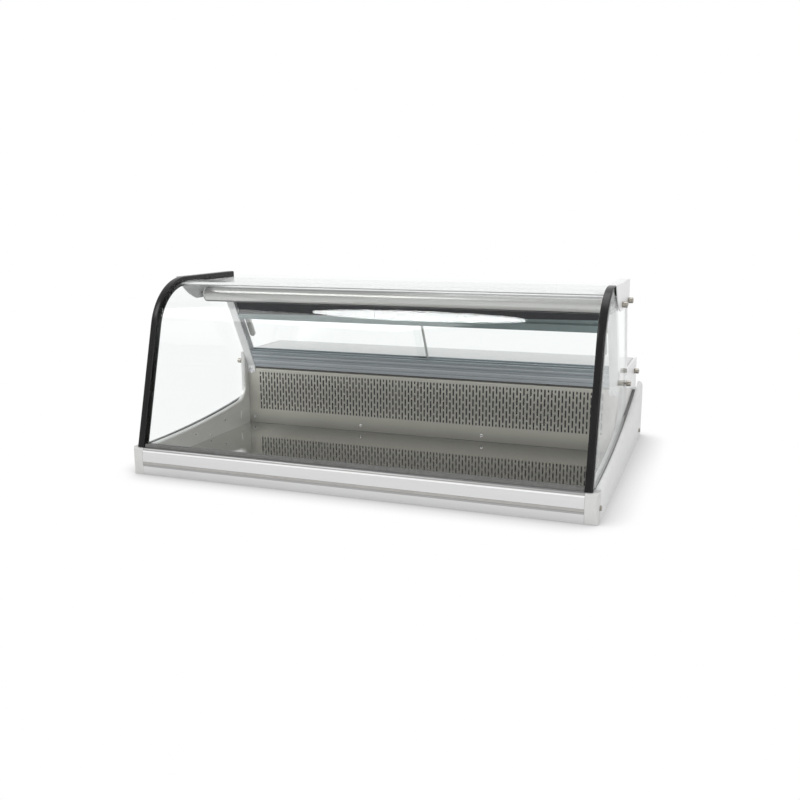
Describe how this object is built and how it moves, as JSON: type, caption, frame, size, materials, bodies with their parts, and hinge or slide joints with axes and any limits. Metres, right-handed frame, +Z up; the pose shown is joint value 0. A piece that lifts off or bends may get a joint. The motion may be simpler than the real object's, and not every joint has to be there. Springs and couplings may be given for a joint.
{
  "type": "refrigerated display case",
  "caption": "Counter-top refrigerated display case with a bent glass front, a lit canopy, sliding rear doors, a steel well, a slotted air panel and a cooling housing behind.",
  "frame": {"origin": "middle of the outer box, at the underside", "axes": "+Z up, -Y towards the customer, +X to the customer's right"},
  "size_m": [1.108, 0.816, 0.457],
  "materials": {
    "satin_aluminium": "satin anodised",
    "steel_sheet": "satin sheet",
    "screw_steel": "bright",
    "white_enamel": "satin paint",
    "light_plastic": "satin",
    "grey_plastic": "matt",
    "black_plastic": "matt",
    "opal_plastic": "opal",
    "rail_plastic": "ribbed",
    "foam": "matt foam",
    "black_rubber": "satin",
    "clear_glass": "clear",
    "lamp_glass": "coated",
    "copper_tube": "drawn tube"
  },
  "bodies": {
    "case": {"front_profile": "satin_aluminium", "front_strip_insert": "grey_plastic", "corner_cap_left": "light_plastic", "corner_cap_right": "light_plastic", "side_panel_left": "light_plastic", "side_panel_right": "light_plastic", "bottom_pan": "steel_sheet", "base_insulation": "foam", "display_floor": "steel_sheet", "side_liner_left": "steel_sheet", "side_liner_right": "steel_sheet", "glass_gasket_left": "black_rubber", "glass_gasket_right": "black_rubber", "side_glass_left": "clear_glass", "side_glass_right": "clear_glass", "front_glass": "clear_glass", "front_glass_bead": "grey_plastic", "corner_seal_left": "black_rubber", "corner_seal_right": "black_rubber", "canopy_profile": "white_enamel", "canopy_end_cap_left": "light_plastic", "canopy_end_cap_right": "light_plastic", "canopy_side_plate_left": "satin_aluminium", "canopy_side_plate_right": "satin_aluminium", "lamp_tube": "lamp_glass", "lamp_holders": "light_plastic", "lamp_diffuser": "opal_plastic", "upper_door_rail": "rail_plastic", "lower_door_rail": "rail_plastic", "door_jamb_left": "satin_aluminium", "door_jamb_right": "satin_aluminium", "perforated_panel": "steel_sheet", "panel_screws": "screw_steel", "housing_cover": "white_enamel", "housing_end_plate_left": "satin_aluminium", "housing_end_plate_right": "satin_aluminium", "rear_cover": "steel_sheet", "rear_insulation": "foam", "drip_tray": "steel_sheet", "evaporator_fins": "satin_aluminium", "evaporator_tubes": "copper_tube", "fan_shroud": "steel_sheet", "fan_frames": "black_plastic", "glass_bolts": "screw_steel", "base_bolts": "screw_steel", "thermostat": "black_plastic", "light_switch_body": "black_plastic", "cable_gland": "black_plastic"},
    "door_left": {"door_left_glass": "clear_glass", "door_left_handle": "grey_plastic", "door_left_edge_strip": "opal_plastic"},
    "door_right": {"door_right_glass": "clear_glass", "door_right_pull": "grey_plastic"},
    "rotor_left": {"fan_rotor_left": "black_plastic"},
    "rotor_middle": {"fan_rotor_middle": "black_plastic"},
    "rotor_right": {"fan_rotor_right": "black_plastic"},
    "button_set": {"thermostat_button_set": "grey_plastic"},
    "button_down": {"thermostat_button_down": "grey_plastic"},
    "button_up": {"thermostat_button_up": "grey_plastic"},
    "rocker": {"light_switch_rocker": "black_plastic"}
  },
  "joints": [
    {"name": "door_left_slide", "type": "slide", "parent": "case", "child": "door_left", "axis": [1, 0, 0], "range_m": [0, 0.47]},
    {"name": "door_right_slide", "type": "slide", "parent": "case", "child": "door_right", "axis": [-1, 0, 0], "range_m": [0, 0.47]},
    {"name": "fan_left_spin", "type": "hinge", "parent": "case", "child": "rotor_left", "pos_m": [-0.3, 0.167, 0.112], "axis": [0, 1, 0], "continuous": true},
    {"name": "fan_middle_spin", "type": "hinge", "parent": "case", "child": "rotor_middle", "pos_m": [0, 0.167, 0.112], "axis": [0, 1, 0], "continuous": true},
    {"name": "fan_right_spin", "type": "hinge", "parent": "case", "child": "rotor_right", "pos_m": [0.3, 0.167, 0.112], "axis": [0, 1, 0], "continuous": true},
    {"name": "button_set_press", "type": "slide", "parent": "case", "child": "button_set", "axis": [0, -1, 0], "range_m": [0, 0.0008], "stiffness_N_per_m": 1000},
    {"name": "button_down_press", "type": "slide", "parent": "case", "child": "button_down", "axis": [0, -1, 0], "range_m": [0, 0.0008], "stiffness_N_per_m": 1000},
    {"name": "button_up_press", "type": "slide", "parent": "case", "child": "button_up", "axis": [0, -1, 0], "range_m": [0, 0.0008], "stiffness_N_per_m": 1000},
    {"name": "light_switch_tilt", "type": "hinge", "parent": "case", "child": "rocker", "pos_m": [0.23, 0.403, 0.076], "axis": [1, 0, 0], "range_deg": [-14, 0]}
  ]
}
